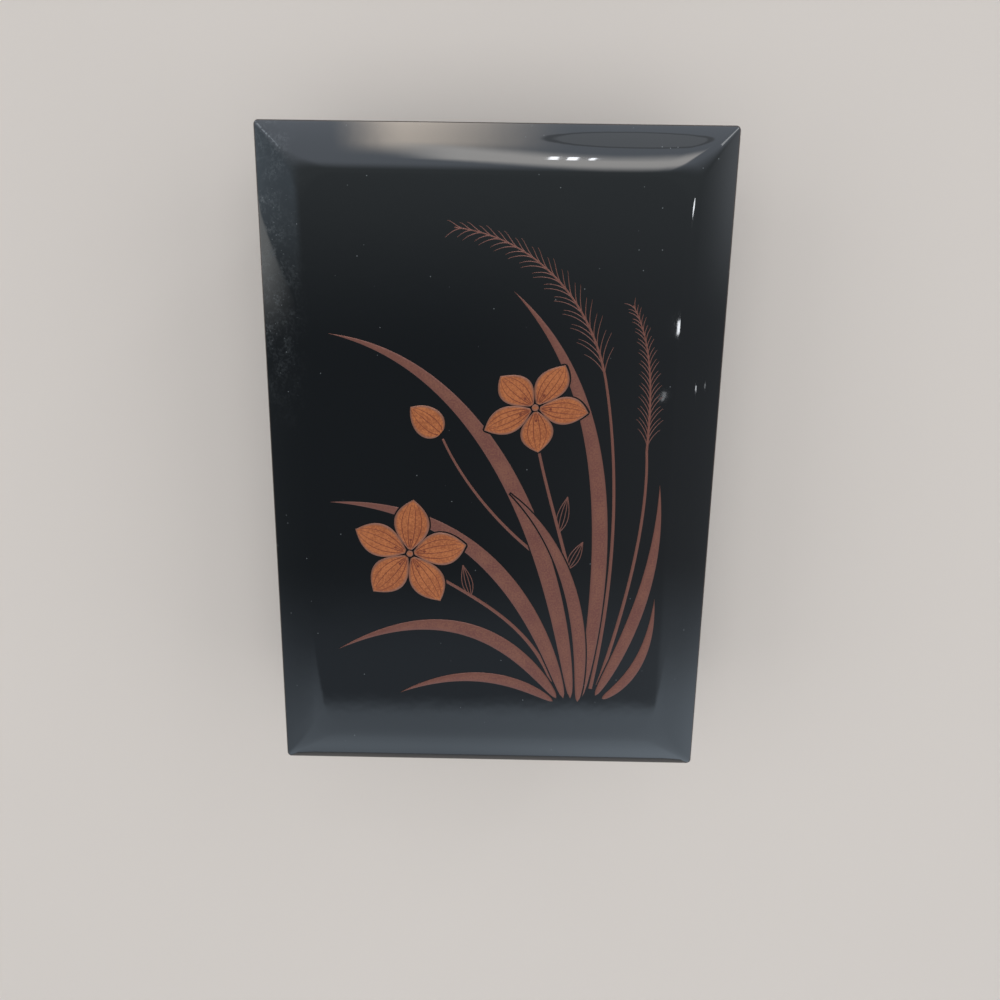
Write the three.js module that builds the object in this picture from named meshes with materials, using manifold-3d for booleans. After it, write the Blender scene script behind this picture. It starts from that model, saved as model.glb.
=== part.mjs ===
// A shallow black lacquer box with an overlapping lid, as used for cards and letters.
// Millimetres, +Z up. The box lies flat with its long side along Y. The origin is the centre of its
// footprint, on the plane that it stands on.
// Both halves are boards glued up with mitred corners, keyed with thin slips and lacquered black.
// The lid's top board has a flat face and a rounded bevel on all four sides. On the flat face lies a
// raised ornament of autumn grasses and bellflowers in copper and gold powder, in three thin layers.

import * as THREE from 'three';
import { mergeVertices } from 'three/addons/utils/BufferGeometryUtils.js';
import Module from 'manifold-3d';

const wasm = await Module();
wasm.setup();

// Lid
const lidWidth = 120;
const lidLength = 174.5;
const lidWall = 4;
const lidWallHeight = 16.5;
const lidBoardThickness = 7.5;
const lidCornerRadius = 1.2;

// Rounded bevel of the lid's top board, from its edge inwards: arris, bevel, shoulder
const arrisRadius = 1;
const bevelRadius = 38;
const shoulderRadius = 12;
const bevelSlopeAtArris = 33;
const bevelSlopeAtShoulder = 18;

// Box
const lidClearance = 0.6;
const boxWall = 4;
const boxWallHeight = 44.5;
const boxCornerRadius = 1;
const rimRadius = 0.8;

// Base board, held in a groove of the box's walls
const baseThickness = 4;
const baseRecess = 1.5;
const grooveDepth = 2;
const grooveClearance = 0.3;

// Corner keys, thin slips in saw kerfs across the mitres
const keyThickness = 1.2;
const keyLeg = 6.5;
const keyClearance = 0.3;
const lidKeyHeight = 7.5;
const boxKeyHeights = [13, 31];

// Raised ornament
const layerThickness = 0.12;
const layerClearance = 0.3;
const heartThickness = 0.1;

// What follows from these sizes
const boxWidth = lidWidth - 2 * (lidWall + lidClearance);
const boxLength = lidLength - 2 * (lidWall + lidClearance);
const lidRimZ = boxWallHeight - lidWallHeight;
const lidFaceZ = boxWallHeight + lidBoardThickness;

const blackLacquer = { color: 0x0b0d10, roughness: 0.08, metalness: 0 };
const bareWood = { color: 0xb58f63, roughness: 0.75, metalness: 0 };
const copperPowder = { color: 0x9a6656, roughness: 0.45, metalness: 0.7 };
const goldPowder = { color: 0xcf8648, roughness: 0.4, metalness: 0.7 };

const degrees = THREE.MathUtils.degToRad;

// Solids

function solidOf(geometry) {
  const bare = geometry.clone();
  for (const name of Object.keys(bare.attributes)) {
    if (name !== 'position') bare.deleteAttribute(name);
  }
  const merged = mergeVertices(bare, 1e-5);
  return new wasm.Manifold(new wasm.Mesh({
    numProp: 3,
    vertProperties: new Float32Array(merged.attributes.position.array),
    triVerts: new Uint32Array(merged.index.array),
  }));
}

function geometryOf(solid) {
  const mesh = solid.getMesh();
  const geometry = new THREE.BufferGeometry();
  geometry.setAttribute('position', new THREE.BufferAttribute(mesh.vertProperties, 3));
  geometry.setIndex(new THREE.BufferAttribute(mesh.triVerts, 1));
  return geometry;
}

function prism(shape, bottom, top, curveSegments = 6) {
  const geometry = new THREE.ExtrudeGeometry(shape, {
    depth: top - bottom, bevelEnabled: false, curveSegments,
  });
  return solidOf(geometry.translate(0, 0, bottom));
}

function place(group, name, solid, finish) {
  const mesh = new THREE.Mesh(geometryOf(solid), new THREE.MeshStandardMaterial(finish));
  mesh.name = name;
  group.add(mesh);
}

// Joinery shared by the box and the lid

const sides = [
  { name: 'front', turn: 0 },
  { name: 'right', turn: 90 },
  { name: 'back', turn: 180 },
  { name: 'left', turn: 270 },
];

function roundedBlock(width, length, radius, bottom, top) {
  const x = width / 2;
  const y = length / 2;
  const shape = new THREE.Shape();
  shape.moveTo(-x + radius, -y);
  shape.lineTo(x - radius, -y);
  shape.absarc(x - radius, -y + radius, radius, -Math.PI / 2, 0, false);
  shape.lineTo(x, y - radius);
  shape.absarc(x - radius, y - radius, radius, 0, Math.PI / 2, false);
  shape.lineTo(-x + radius, y);
  shape.absarc(-x + radius, y - radius, radius, Math.PI / 2, Math.PI, false);
  shape.lineTo(-x, -y + radius);
  shape.absarc(-x + radius, -y + radius, radius, Math.PI, Math.PI * 1.5, false);
  return prism(shape, bottom, top, 4);
}

// A wall's section has the distance in from the outer face as x and the height as y. Each end is
// drawn back by that distance, which mitres it.
function mitredWall(section, side, width, length) {
  const along = side.turn % 180 === 0 ? width / 2 : length / 2;
  const across = side.turn % 180 === 0 ? length / 2 : width / 2;
  const geometry = new THREE.ExtrudeGeometry(section, { depth: 1, bevelEnabled: false, curveSegments: 3 });
  const position = geometry.attributes.position;
  for (let i = 0; i < position.count; i += 1) {
    const inset = position.getX(i);
    const height = position.getY(i);
    const end = position.getZ(i) > 0.5 ? 1 : -1;
    position.setXYZ(i, end * (along - inset), inset - across, height);
  }
  return solidOf(geometry.rotateZ(degrees(side.turn)));
}

// The triangle that a key fills at one corner. Grown, it is the kerf that the key sits in.
function keySlip(corner, width, length, bottom, clearance, overrun) {
  const leg = keyLeg + clearance * Math.SQRT2 + 2 * overrun;
  const x = corner.x * (width / 2 + overrun);
  const y = corner.y * (length / 2 + overrun);
  const shape = new THREE.Shape();
  shape.moveTo(x, y);
  shape.lineTo(x - corner.x * leg, y);
  shape.lineTo(x, y - corner.y * leg);
  shape.closePath();
  return prism(shape, bottom, bottom + keyThickness);
}

const corners = [
  { name: 'front_left', x: -1, y: -1 },
  { name: 'front_right', x: 1, y: -1 },
  { name: 'back_right', x: 1, y: 1 },
  { name: 'back_left', x: -1, y: 1 },
];

// Walls with their kerfs cut, then the keys, all trimmed to the rounded outer corners.
function frame(group, prefix, section, keyHeights, outline, width, length) {
  const kerfOverrun = 1;
  for (const side of sides) {
    let wall = mitredWall(section, side, width, length).intersect(outline);
    for (const corner of corners) {
      for (const height of keyHeights) {
        wall = wall.subtract(keySlip(corner, width, length, height, keyClearance, kerfOverrun));
      }
    }
    place(group, `${prefix}_wall_${side.name}`, wall, blackLacquer);
  }
  for (const corner of corners) {
    keyHeights.forEach((height, level) => {
      const key = keySlip(corner, width, length, height, 0, 0).intersect(outline);
      const suffix = keyHeights.length > 1 ? `_${level + 1}` : '';
      place(group, `${prefix}_key_${corner.name}${suffix}`, key, bareWood);
    });
  }
}

// Box

function boxWallSection() {
  const grooveTop = baseRecess + baseThickness;
  const section = new THREE.Shape();
  section.moveTo(0, 0);
  section.lineTo(boxWall, 0);
  section.lineTo(boxWall, baseRecess);
  section.lineTo(boxWall - grooveDepth, baseRecess);
  section.lineTo(boxWall - grooveDepth, grooveTop);
  section.lineTo(boxWall, grooveTop);
  section.lineTo(boxWall, boxWallHeight - rimRadius);
  section.absarc(boxWall - rimRadius, boxWallHeight - rimRadius, rimRadius, 0, Math.PI / 2, false);
  section.lineTo(rimRadius, boxWallHeight);
  section.absarc(rimRadius, boxWallHeight - rimRadius, rimRadius, Math.PI / 2, Math.PI, false);
  section.closePath();
  return section;
}

function baseBoard() {
  const seat = 2 * (boxWall - grooveDepth + grooveClearance);
  const board = new THREE.BoxGeometry(boxWidth - seat, boxLength - seat, baseThickness);
  return solidOf(board.translate(0, 0, baseRecess + baseThickness / 2));
}

function box() {
  const group = new THREE.Group();
  const outline = roundedBlock(boxWidth, boxLength, boxCornerRadius, 0, boxWallHeight);
  place(group, 'base_board', baseBoard(), blackLacquer);
  frame(group, 'box', boxWallSection(), boxKeyHeights, outline, boxWidth, boxLength);
  return group;
}

// Lid

// Upper half of the lid's section over its half width. Each arc starts where the last one ended, and
// its angles are those of the outward normal, from level at the arris to upright on the flat face.
function bevelledSection(halfWidth) {
  const steep = degrees(90 - bevelSlopeAtArris);
  const gentle = degrees(90 - bevelSlopeAtShoulder);
  const arcs = [
    { radius: arrisRadius, from: 0, to: steep },
    { radius: bevelRadius, from: steep, to: gentle },
    { radius: shoulderRadius, from: gentle, to: Math.PI / 2 },
  ];
  const rise = arcs.reduce((sum, arc) => sum + arc.radius * (Math.sin(arc.to) - Math.sin(arc.from)), 0);
  const section = new THREE.Shape();
  section.moveTo(halfWidth, boxWallHeight);
  let x = halfWidth;
  let z = lidFaceZ - rise;
  section.lineTo(x, z);
  for (const { radius, from, to } of arcs) {
    const centreX = x - radius * Math.cos(from);
    const centreZ = z - radius * Math.sin(from);
    section.absarc(centreX, centreZ, radius, from, to, false);
    x = centreX + radius * Math.cos(to);
    z = centreZ + radius * Math.sin(to);
  }
  x = -x;
  section.lineTo(x, z);
  for (const { radius, from, to } of arcs.toReversed()) {
    const centreX = x + radius * Math.cos(to);
    const centreZ = z - radius * Math.sin(to);
    section.absarc(centreX, centreZ, radius, Math.PI - to, Math.PI - from, false);
    x = centreX - radius * Math.cos(from);
    z = centreZ + radius * Math.sin(from);
  }
  section.lineTo(-halfWidth, boxWallHeight);
  section.closePath();
  return section;
}

// The two bevelled sections, one run along Y and one along X, meet in the mitre lines of the bevel.
function lidTopBoard(outline) {
  const alongY = new THREE.ExtrudeGeometry(bevelledSection(lidWidth / 2), {
    depth: lidLength, bevelEnabled: false, curveSegments: 6,
  });
  alongY.rotateX(Math.PI / 2).translate(0, lidLength / 2, 0);
  const alongX = new THREE.ExtrudeGeometry(bevelledSection(lidLength / 2), {
    depth: lidWidth, bevelEnabled: false, curveSegments: 6,
  });
  alongX.rotateX(Math.PI / 2).rotateZ(Math.PI / 2).translate(-lidWidth / 2, 0, 0);
  return solidOf(alongY).intersect(solidOf(alongX)).intersect(outline);
}

function lidWallSection() {
  const section = new THREE.Shape();
  section.moveTo(0, lidRimZ);
  section.lineTo(lidWall, lidRimZ);
  section.lineTo(lidWall, boxWallHeight);
  section.lineTo(0, boxWallHeight);
  section.closePath();
  return section;
}

function lid() {
  const group = new THREE.Group();
  const outline = roundedBlock(lidWidth, lidLength, lidCornerRadius, lidRimZ, lidFaceZ);
  place(group, 'lid_top_board', lidTopBoard(outline), blackLacquer);
  frame(group, 'lid', lidWallSection(), [lidRimZ + lidKeyHeight], outline, lidWidth, lidLength);
  return group;
}

// Ornament. It is drawn on a grid over the lid, from its centre, 120 units across and 174.5 units along.
// Widths, reaches and radii go by the smaller unit.
const unitAcross = lidWidth / 120;
const unitAlong = lidLength / 174.5;
const unit = Math.min(unitAcross, unitAlong);

function gridPoint([x, y]) {
  return new THREE.Vector2(x * unitAcross, y * unitAlong);
}

function gridCurve(points) {
  return new THREE.CubicBezierCurve(...points.map(gridPoint));
}

// The outline of a line along a curve, whose half width at each share of its length is given by a function.
function lineOutline(curve, halfWidthAt, steps, grow) {
  const left = [];
  const right = [];
  for (let i = 0; i <= steps; i += 1) {
    const t = i / steps;
    const point = curve.getPoint(t);
    const tangent = curve.getTangent(t);
    const half = halfWidthAt(t) + grow;
    left.push(new THREE.Vector2(point.x - tangent.y * half, point.y + tangent.x * half));
    right.push(new THREE.Vector2(point.x + tangent.y * half, point.y - tangent.x * half));
  }
  return new THREE.Shape([...right, ...left.reverse()]);
}

// A blade swells from a narrow foot to a third of its length, then tapers to a fine point.
const bladeFoot = 0.45;
const bladeTip = 0.9;
const finestHalfWidth = 0.06;

function bladeOutline({ points, width }, grow) {
  const peak = bladeFoot / (bladeFoot + bladeTip);
  const most = peak ** bladeFoot * (1 - peak) ** bladeTip;
  const halfWidthAt = (t) => {
    const swell = t ** bladeFoot * (1 - t) ** bladeTip / most;
    return Math.max(unit * width / 2 * swell, finestHalfWidth);
  };
  return lineOutline(gridCurve(points), halfWidthAt, 18, grow);
}

function stalkOutline(curve, width, grow) {
  return lineOutline(curve, (t) => unit * width / 2 * (1 - 0.35 * t), 10, grow);
}

// A side stem springs from a share of the main stem's length.
function sideStemOutline({ at, bends, width }, stem, grow) {
  const foot = gridCurve(stem.points).getPoint(at);
  const curve = new THREE.CubicBezierCurve(foot, ...bends.map(gridPoint));
  return stalkOutline(curve, width, grow);
}

// A small lance-shaped leaf, from its foot on the stem outwards.
function leafOutline({ at, angle, length, width }, stem, grow) {
  const foot = gridCurve(stem.points).getPoint(at);
  const reach = unit * length;
  const tip = new THREE.Vector2(
    foot.x + reach * Math.cos(degrees(angle)),
    foot.y + reach * Math.sin(degrees(angle)),
  );
  const halfWidthAt = (t) => Math.max(unit * width / 2 * Math.sin(Math.PI * t ** 0.8), finestHalfWidth);
  return lineOutline(new THREE.LineCurve(foot, tip), halfWidthAt, 10, grow);
}

// A plume is a drooping axis with fine hairs on both sides, longest at its foot.
const hairPairs = 13;
const hairWidth = 0.5;
const hairSpread = 24;
const hairDroopShare = 0.2;

function plumeOutlines({ points, width, hairLength }, grow) {
  const axis = gridCurve(points);
  const outlines = [lineOutline(axis, (t) => unit * width / 2 * (1 - 0.5 * t), 12, grow)];
  for (let i = 0; i < hairPairs; i += 1) {
    const t = 0.05 + 0.9 * i / (hairPairs - 1);
    const foot = axis.getPoint(t);
    const heading = axis.getTangent(t).angle();
    const reach = unit * hairLength * (1 - 0.6 * t);
    for (const hand of [1, -1]) {
      const angle = heading + hand * degrees(hairSpread);
      const out = new THREE.Vector2(reach * Math.cos(angle), reach * Math.sin(angle));
      const early = foot.clone().addScaledVector(out, 0.3);
      const bend = foot.clone().addScaledVector(out, 0.6);
      const tip = foot.clone().add(out);
      tip.y -= hairDroopShare * reach;
      const hair = new THREE.CubicBezierCurve(foot, early, bend, tip);
      outlines.push(lineOutline(hair, (s) => hairWidth / 2 * (1 - 0.5 * s), 4, grow));
    }
  }
  return outlines;
}

// A bellflower is five broad pointed petals about a small heart. Seen at a slant, it is flattened
// across the direction that it leans in.
const petalCount = 5;
const petalHalfWidth = 0.4;
const petalFootRadius = 1.2;
const petalFootHalfWidth = 0.5;
const heartRadius = 1.9;

function slanted([x, y], { centre, lean, flatten }) {
  const point = new THREE.Vector2(x, y).rotateAround(new THREE.Vector2(), -degrees(lean));
  point.y *= flatten;
  point.rotateAround(new THREE.Vector2(), degrees(lean));
  return point.add(gridPoint(centre));
}

function petalEdge(radius) {
  const bulge = petalHalfWidth * radius;
  return new THREE.CubicBezierCurve(
    new THREE.Vector2(petalFootRadius, petalFootHalfWidth),
    new THREE.Vector2(0.3 * radius, bulge),
    new THREE.Vector2(0.74 * radius, bulge * 0.97),
    new THREE.Vector2(radius, 0),
  );
}

function petalOutline(flower, number) {
  const edge = petalEdge(unit * flower.radius).getPoints(8).map((point) => [point.x, point.y]);
  const otherEdge = edge.slice(0, -1).map(([x, y]) => [x, -y]);
  const turn = degrees(flower.turn + number * 360 / petalCount);
  return new THREE.Shape([...otherEdge, ...edge.reverse()].map(([x, y]) => {
    const turned = new THREE.Vector2(x, y).rotateAround(new THREE.Vector2(), turn);
    return slanted([turned.x, turned.y], flower);
  }));
}

function heartOutline(flower) {
  const ring = new THREE.EllipseCurve(0, 0, heartRadius, heartRadius).getPoints(12).slice(0, -1);
  return new THREE.Shape(ring.map((point) => slanted([point.x, point.y], flower)));
}

function flowerOutlines(flower) {
  const petals = Array.from({ length: petalCount }, (_, number) => petalOutline(flower, number));
  return [...petals, heartOutline(flower)];
}

// A closed bud, round at its foot and pointed at its tip.
function budOutline({ centre, angle, radius }) {
  const swell = unit * radius;
  const edge = new THREE.CubicBezierCurve(
    new THREE.Vector2(-swell, 0.25 * swell),
    new THREE.Vector2(-0.7 * swell, 1.15 * swell),
    new THREE.Vector2(0.55 * swell, 1.1 * swell),
    new THREE.Vector2(1.25 * swell, 0),
  ).getPoints(10).map((point) => [point.x, point.y]);
  const otherEdge = edge.slice(0, -1).map(([x, y]) => [x, -y]);
  return new THREE.Shape([...otherEdge, ...edge.reverse()].map(([x, y]) => (
    new THREE.Vector2(x, y).rotateAround(new THREE.Vector2(), degrees(angle)).add(gridPoint(centre))
  )));
}

const upperStalk = {
  name: 'bellflower_stalk_upper',
  stem: { width: 1.1, points: [[26.5, -60], [26, -34], [16, -12], [11.5, 10]] },
  sideStems: [{ at: 0.43, width: 0.9, bends: [[8, -20], [-6, -6], [-13, 9.5]] }],
  leaves: [
    { at: 0.62, angle: 78, length: 10, width: 3 },
    { at: 0.47, angle: 64, length: 8.5, width: 2.8 },
  ],
};

const lowerStalk = {
  name: 'bellflower_stalk_lower',
  stem: { width: 1.1, points: [[17.6, -59], [10, -40], [-6, -34], [-20, -25]] },
  sideStems: [],
  leaves: [{ at: 0.66, angle: 104, length: 9, width: 2.8 }],
};

const upperPlume = {
  name: 'grass_plume_upper',
  stem: { width: 1, points: [[28.5, -61], [34, -30], [34, 0], [29, 25]] },
  head: { width: 0.9, hairLength: 10.5, points: [[29, 25], [25, 44], [11, 60], [-10, 62]] },
};

const rightPlume = {
  name: 'grass_plume_right',
  stem: { width: 1, points: [[30.5, -60], [38, -34], [42, -10], [40.5, 7]] },
  head: { width: 0.9, hairLength: 8, points: [[40.5, 7], [41, 20], [41, 34], [35, 44]] },
};

const farBlades = [
  { name: 'grass_blade_tall', width: 4.2, points: [[26, -64], [34, -10], [28, 26], [5, 47]] },
  { name: 'grass_blade_high', width: 4.6, points: [[23, -64], [17, -14], [-4, 30], [-42, 36]] },
  { name: 'grass_blade_middle', width: 4.4, points: [[21, -64], [10, -26], [-12, -8], [-43, -8]] },
  { name: 'grass_blade_right', width: 3.4, points: [[30, -63], [41, -42], [46, -22], [44.5, -2]] },
  { name: 'grass_blade_short', width: 2.8, points: [[32, -64], [41, -58], [45, -48], [45, -34]] },
];

const nearBlades = [
  { name: 'grass_blade_inner', width: 3.6, points: [[25, -65], [27, -40], [20, -18], [5, -5]] },
  { name: 'grass_blade_low', width: 4, points: [[19, -64], [4, -42], [-16, -36], [-42, -50]] },
  { name: 'grass_blade_bottom', width: 3, points: [[18, -65], [4, -56], [-10, -56], [-25, -63]] },
];

const flowers = [
  { name: 'bellflower_upper', centre: [11, 18], radius: 14.5, turn: 62, flatten: 0.8, lean: 20 },
  { name: 'bellflower_lower', centre: [-22, -22], radius: 16, turn: 84, flatten: 0.93, lean: -30 },
];

const bud = { name: 'bellflower_bud', centre: [-17, 14], angle: 140, radius: 4.6 };

function stalkOutlines({ stem, sideStems, leaves }, grow) {
  return [
    stalkOutline(gridCurve(stem.points), stem.width, grow),
    ...sideStems.map((sideStem) => sideStemOutline(sideStem, stem, grow)),
    ...leaves.map((leaf) => leafOutline(leaf, stem, grow)),
  ];
}

// Every motif with its layer. A motif in a higher layer passes over those below it.
const motifs = [
  ...[upperStalk, lowerStalk].map((stalk) => ({
    name: stalk.name, layer: 1, finish: copperPowder,
    outlines: (grow) => stalkOutlines(stalk, grow),
  })),
  ...[upperPlume, rightPlume].map((plume) => ({
    name: plume.name, layer: 1, finish: copperPowder,
    outlines: (grow) => [
      stalkOutline(gridCurve(plume.stem.points), plume.stem.width, grow),
      ...plumeOutlines(plume.head, grow),
    ],
  })),
  ...farBlades.map((blade) => ({
    name: blade.name, layer: 2, finish: copperPowder,
    outlines: (grow) => [bladeOutline(blade, grow)],
  })),
  ...nearBlades.map((blade) => ({
    name: blade.name, layer: 3, finish: copperPowder,
    outlines: (grow) => [bladeOutline(blade, grow)],
  })),
  ...flowers.map((flower) => ({
    name: flower.name, layer: 3, finish: goldPowder,
    outlines: () => flowerOutlines(flower),
    heart: () => heartOutline(flower),
  })),
  { name: bud.name, layer: 3, finish: goldPowder, outlines: () => [budOutline(bud)] },
];

function raised(outlines, thickness) {
  const solids = outlines.map((outline) => prism(outline, lidFaceZ, lidFaceZ + thickness));
  return solids.reduce((whole, solid) => whole.add(solid));
}

function ornament() {
  const group = new THREE.Group();
  for (const motif of motifs) {
    const thickness = motif.layer * layerThickness;
    let solid = raised(motif.outlines(0), thickness);
    for (const under of motifs.filter((other) => other.layer < motif.layer)) {
      solid = solid.subtract(raised(under.outlines(layerClearance), under.layer * layerThickness));
    }
    if (motif.heart) solid = solid.add(raised([motif.heart()], thickness + heartThickness));
    place(group, motif.name, solid, motif.finish);
  }
  return group;
}

const lacquerBox = new THREE.Group();
lacquerBox.add(box(), lid(), ornament());

export default lacquerBox;
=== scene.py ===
# A shallow black lacquer box with an overlapping lid and a raised ornament of grasses and bellflowers.
import math
from collections import namedtuple

import bmesh
import bpy
from mathutils import Euler, Matrix, Vector


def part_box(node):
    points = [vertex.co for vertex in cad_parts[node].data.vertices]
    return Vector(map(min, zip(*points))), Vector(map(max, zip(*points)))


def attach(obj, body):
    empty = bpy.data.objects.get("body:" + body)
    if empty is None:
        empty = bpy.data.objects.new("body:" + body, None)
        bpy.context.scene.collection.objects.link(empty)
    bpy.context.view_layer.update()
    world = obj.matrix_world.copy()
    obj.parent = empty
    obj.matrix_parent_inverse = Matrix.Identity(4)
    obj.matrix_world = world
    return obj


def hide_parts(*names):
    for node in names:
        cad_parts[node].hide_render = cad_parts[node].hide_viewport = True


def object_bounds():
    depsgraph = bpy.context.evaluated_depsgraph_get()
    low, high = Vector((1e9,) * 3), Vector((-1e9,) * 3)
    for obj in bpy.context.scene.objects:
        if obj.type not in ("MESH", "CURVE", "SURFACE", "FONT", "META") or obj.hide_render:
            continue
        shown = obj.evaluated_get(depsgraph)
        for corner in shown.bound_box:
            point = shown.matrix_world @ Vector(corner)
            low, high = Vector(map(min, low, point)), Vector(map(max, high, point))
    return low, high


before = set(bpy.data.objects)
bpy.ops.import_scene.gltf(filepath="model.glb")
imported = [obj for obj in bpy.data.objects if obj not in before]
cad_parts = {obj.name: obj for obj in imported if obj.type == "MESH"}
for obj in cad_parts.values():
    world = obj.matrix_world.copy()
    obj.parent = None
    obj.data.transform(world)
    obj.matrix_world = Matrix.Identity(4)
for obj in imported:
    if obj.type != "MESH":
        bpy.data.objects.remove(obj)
cad_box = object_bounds()

# Camera
# The lid is looked down on from a little behind its middle, as a camera held above it would see it. The
# distance, tilt and lens are those at which the lid's outline falls where it does in the photograph.

MM = 0.001
SENSOR_WIDTH = 36.0
FOCAL_LENGTH = 27.04
CAMERA_HEIGHT_OVER_ARRIS = 200.8 * MM
CAMERA_OFFSET = (3.5 * MM, 38.5 * MM)
CAMERA_PITCH, CAMERA_YAW, CAMERA_ROLL = (math.radians(angle) for angle in (13.04, -0.37, -0.87))
ARRIS_BELOW_FACE = 5.7 * MM

lid_board_low, lid_board_high = (Vector(corner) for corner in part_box("lid_top_board"))
camera = bpy.data.objects.new("camera", bpy.data.cameras.new("camera"))
camera.data.lens = FOCAL_LENGTH
camera.data.sensor_width = SENSOR_WIDTH
camera.data.clip_start = 10 * MM
arris_height = lid_board_high.z - ARRIS_BELOW_FACE
camera_place = Matrix.Translation((*CAMERA_OFFSET, arris_height + CAMERA_HEIGHT_OVER_ARRIS))
camera_turn = (Matrix.Rotation(-CAMERA_YAW, 4, "Y") @ Matrix.Rotation(-CAMERA_PITCH, 4, "X")
               @ Matrix.Rotation(-CAMERA_ROLL, 4, "Z"))
camera.matrix_world = camera_place @ camera_turn
bpy.context.scene.collection.objects.link(camera)
bpy.context.scene.camera = camera
bpy.context.scene.view_settings.view_transform = "Standard"

# Studio
# A pale matt table under soft lamps. The gloss mirrors dim air overhead, so that it stays black, and paler
# air low down all round, with a wide softbox beyond the far edge that shows in the bevel.

TABLE_RADIUS, TABLE_SIDES, TABLE_GAP = 4.0, 96, 0.02 * MM
TABLE_COLOURS, TABLE_CLOUD, TABLE_ROUGHNESS = ("#dcd8d5", "#d8d4d1"), 150 * MM, 0.7
BACKDROP = ("#cfcac6", 1.0)
EVEN_AIR = ("#f6f4f2", 0.45)
OVERHEAD_AIR = ("#8e999e", 0.5)
RIGHT_AIR = ("#ccd4da", 0.5)
FAR_AIR = ("#d8e4e8", 0.7)
FAR_LOW_AIR = ("#e6f1ff", 1.85)
FAR_LEFT_AIR = ("#cadcea", 1.3)
NEAR_AIR = ("#e0f0ff", 0.43)
NEAR_RIGHT_AIR = ("#e4f2ff", 1.05)
NEAR_LOW_AIR = ("#e0f0ff", 1.37)
NEAR_LOW_RIGHT_AIR = ("#e0f0ff", 1.8)
LEFT_SCREEN = ("#eef2f2", 1.85)
RIGHT_SCREEN = ("#e8f0f8", 1.2)
SOFTBOX_MIDDLE = ("#fff3e6", 7.4)
SOFTBOX_LOWER_EDGE = ("#fffdfb", 5.4)
SOFTBOX_BEND, SOFTBOX_BEND_MIDDLE, SOFTBOX_EDGE_LEVEL = (3.4, 0.0, 0.0), (-0.442, 0.3, 0.0), 0.53
SHADE, SHADE_RIM = ("#eef6ff", 1.7), ("#eef6ff", 1.05)
SHADE_STRETCH, SHADE_MIDDLE = (9.6, 0.0, 8.6), (-1.4, 0.0, -3.5)
LEFT_SCREEN_SLOPE = 4.9
SOFT_WHITE, LAMP_WHITE, STRIP_WHITE = "#fffcf8", "#f6faff", "#ffffff"
LAMP_DISTANCE = 2.0


def linear(hex_colour, level=1.0):
    """A colour in linear light, from its sRGB hex value, at a level where 1 is as written."""
    channels = (int(hex_colour[i:i + 2], 16) / 255 for i in (1, 3, 5))
    return (*(level * (c / 12.92 if c <= 0.04045 else ((c + 0.055) / 1.055) ** 2.4) for c in channels), 1.0)


def add_node(material, kind, settings=(), **links):
    """Adds a node. settings are its own fields, links its inputs: a value, or a socket to link from."""
    tree = material.node_tree
    node = tree.nodes.new(kind)
    for field, value in dict(settings).items():
        setattr(node, field, value)
    for name, value in links.items():
        socket = node.inputs[int(name[1:])] if name[1:].isdigit() else node.inputs[name.replace("_", " ")]
        if isinstance(value, bpy.types.NodeSocket):
            tree.links.new(value, socket)
        else:
            socket.default_value = value
    return node


def new_material(name):
    material = bpy.data.materials.new(name)
    material.use_nodes = True
    material.node_tree.nodes.clear()
    return material


def new_piece(name, mesh_data, material):
    """Turns a bmesh into a smooth-shaded object at the origin."""
    mesh = bpy.data.meshes.new(name)
    mesh_data.to_mesh(mesh)
    mesh_data.free()
    for polygon in mesh.polygons:
        polygon.use_smooth = True
    mesh.materials.append(material)
    piece = bpy.data.objects.new(name, mesh)
    bpy.context.scene.collection.objects.link(piece)
    return piece


def matt_table():
    """Matt painted board. The faint clouding keeps it from looking like a flat fill."""
    material = new_material("matt_table")
    place = add_node(material, "ShaderNodeTexCoord").outputs["Object"]
    cloud = add_node(material, "ShaderNodeTexNoise", Vector=place, Scale=1 / TABLE_CLOUD, Detail=3.0)
    tone = add_node(material, "ShaderNodeMix", {"data_type": "RGBA"}, _0=cloud.outputs["Fac"],
                    _6=linear(TABLE_COLOURS[0]), _7=linear(TABLE_COLOURS[1]))
    shader = add_node(material, "ShaderNodeBsdfPrincipled", Base_Color=tone.outputs[2],
                      Roughness=TABLE_ROUGHNESS)
    add_node(material, "ShaderNodeOutputMaterial", Surface=shader.outputs[0])
    return material


table_mesh = bmesh.new()
bmesh.ops.create_circle(table_mesh, cap_ends=True, segments=TABLE_SIDES, radius=TABLE_RADIUS,
                        matrix=Matrix.Translation((0, 0, cad_box[0][2] - TABLE_GAP)))
new_piece("table", table_mesh, matt_table())

# The air is mixed by where a ray points. Each row lays a colour over the ones before it, where every one
# of its measures lies past its first limit, and wholly past its second.
world = bpy.data.worlds.new("studio")
bpy.context.scene.world = world
world.use_nodes = True
world.node_tree.nodes.clear()
ray = add_node(world, "ShaderNodeTexCoord").outputs["Generated"]
heading = add_node(world, "ShaderNodeSeparateXYZ", Vector=ray)
east, north, up = (heading.outputs[axis] for axis in "XYZ")
slant = add_node(world, "ShaderNodeMath", {"operation": "DIVIDE"}, _0=north, _1=up).outputs[0]
left_edge = add_node(world, "ShaderNodeMath", {"operation": "MULTIPLY_ADD"}, _0=north,
                     _1=LEFT_SCREEN_SLOPE, _2=up).outputs[0]
bend = add_node(world, "ShaderNodeVectorMath", {"operation": "MULTIPLY_ADD"}, _0=ray, _1=SOFTBOX_BEND,
                _2=SOFTBOX_BEND_MIDDLE)
bend = add_node(world, "ShaderNodeVectorMath", {"operation": "LENGTH"}, _0=bend.outputs[0]).outputs["Value"]
off_edge = add_node(world, "ShaderNodeMath", {"operation": "SUBTRACT"}, _0=slant, _1=bend)
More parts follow.
